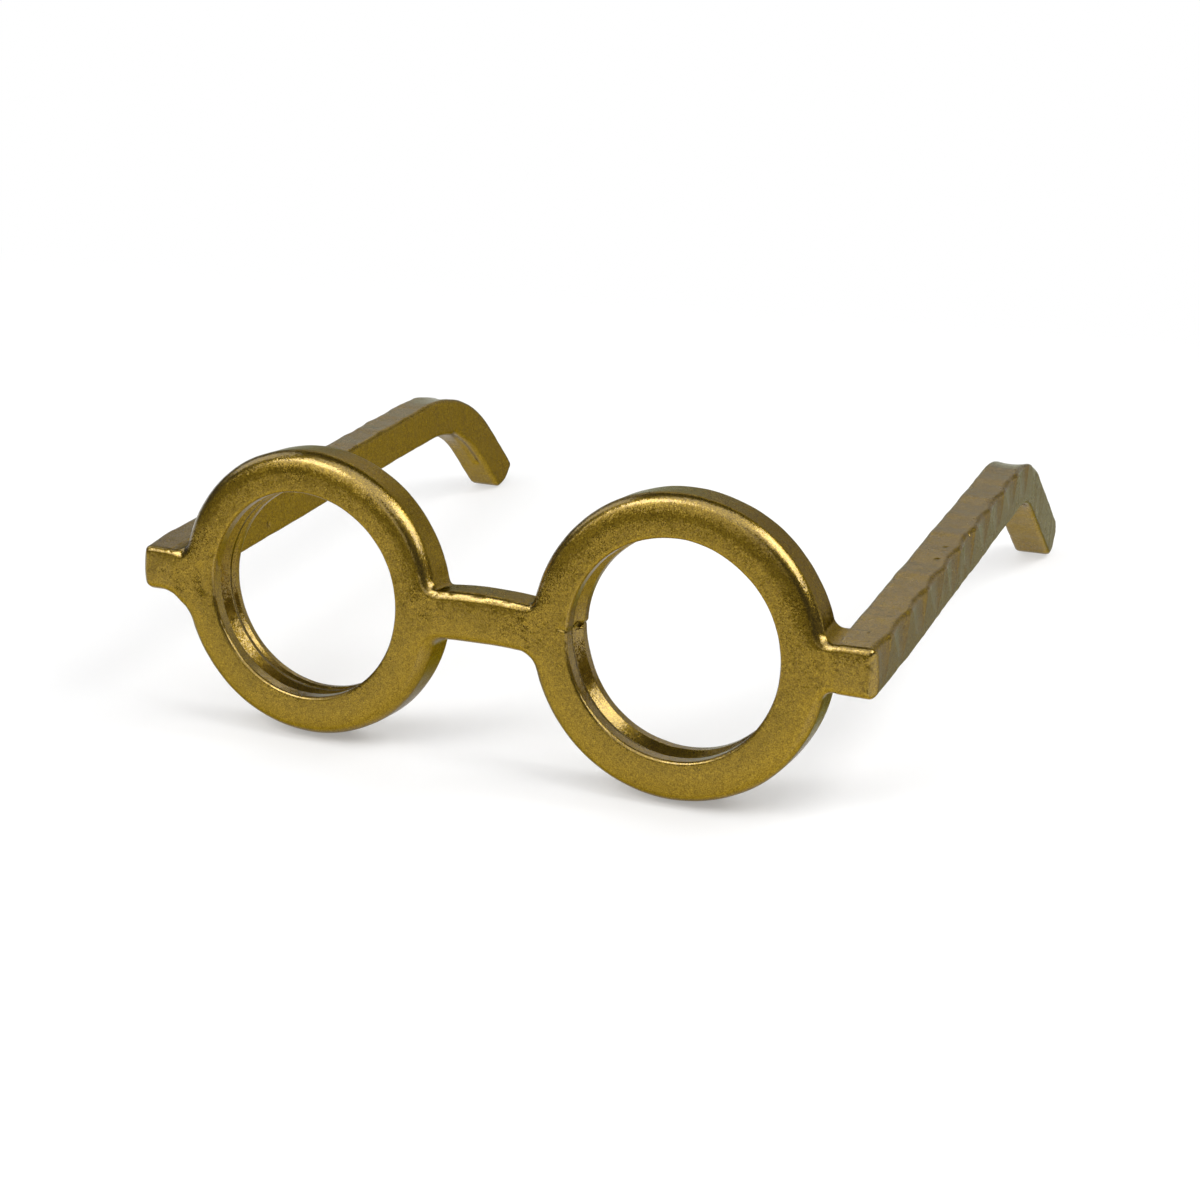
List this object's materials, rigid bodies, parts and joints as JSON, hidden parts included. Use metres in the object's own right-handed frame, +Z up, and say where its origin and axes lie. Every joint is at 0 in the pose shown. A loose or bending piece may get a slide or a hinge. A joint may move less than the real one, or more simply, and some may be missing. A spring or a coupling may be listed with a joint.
{
  "type": "eyeglasses sculpture",
  "caption": "Table sculpture of round eyeglasses in gold-painted square metal bar, standing on its rims and hooked temples.",
  "frame": {"origin": "bottom centre of the whole object's box, on the table top that it stands on", "axes": "+Z up, the front of the glasses faces -Y, +X is to the right of someone who stands in front and looks at it"},
  "size_m": [0.3006, 0.2932, 0.1125],
  "materials": {
    "gold_bar": "metallic gold paint over cast and bent bar, satin, with a fine sandy grain and sparkle",
    "gold_weld": "metallic gold paint over dressed weld metal, satin, a little smoother and brighter than the bars"
  },
  "bodies": {
    "root": {"left_rim": "gold_bar", "right_rim": "gold_bar", "bridge": "gold_bar", "left_temple": "gold_bar", "right_temple": "gold_bar", "left_rim_closing_weld": "gold_weld", "right_rim_closing_weld": "gold_weld", "bridge_weld_left": "gold_weld", "bridge_weld_right": "gold_weld", "left_temple_weld": "gold_weld", "right_temple_weld": "gold_weld"}
  },
  "joints": []
}
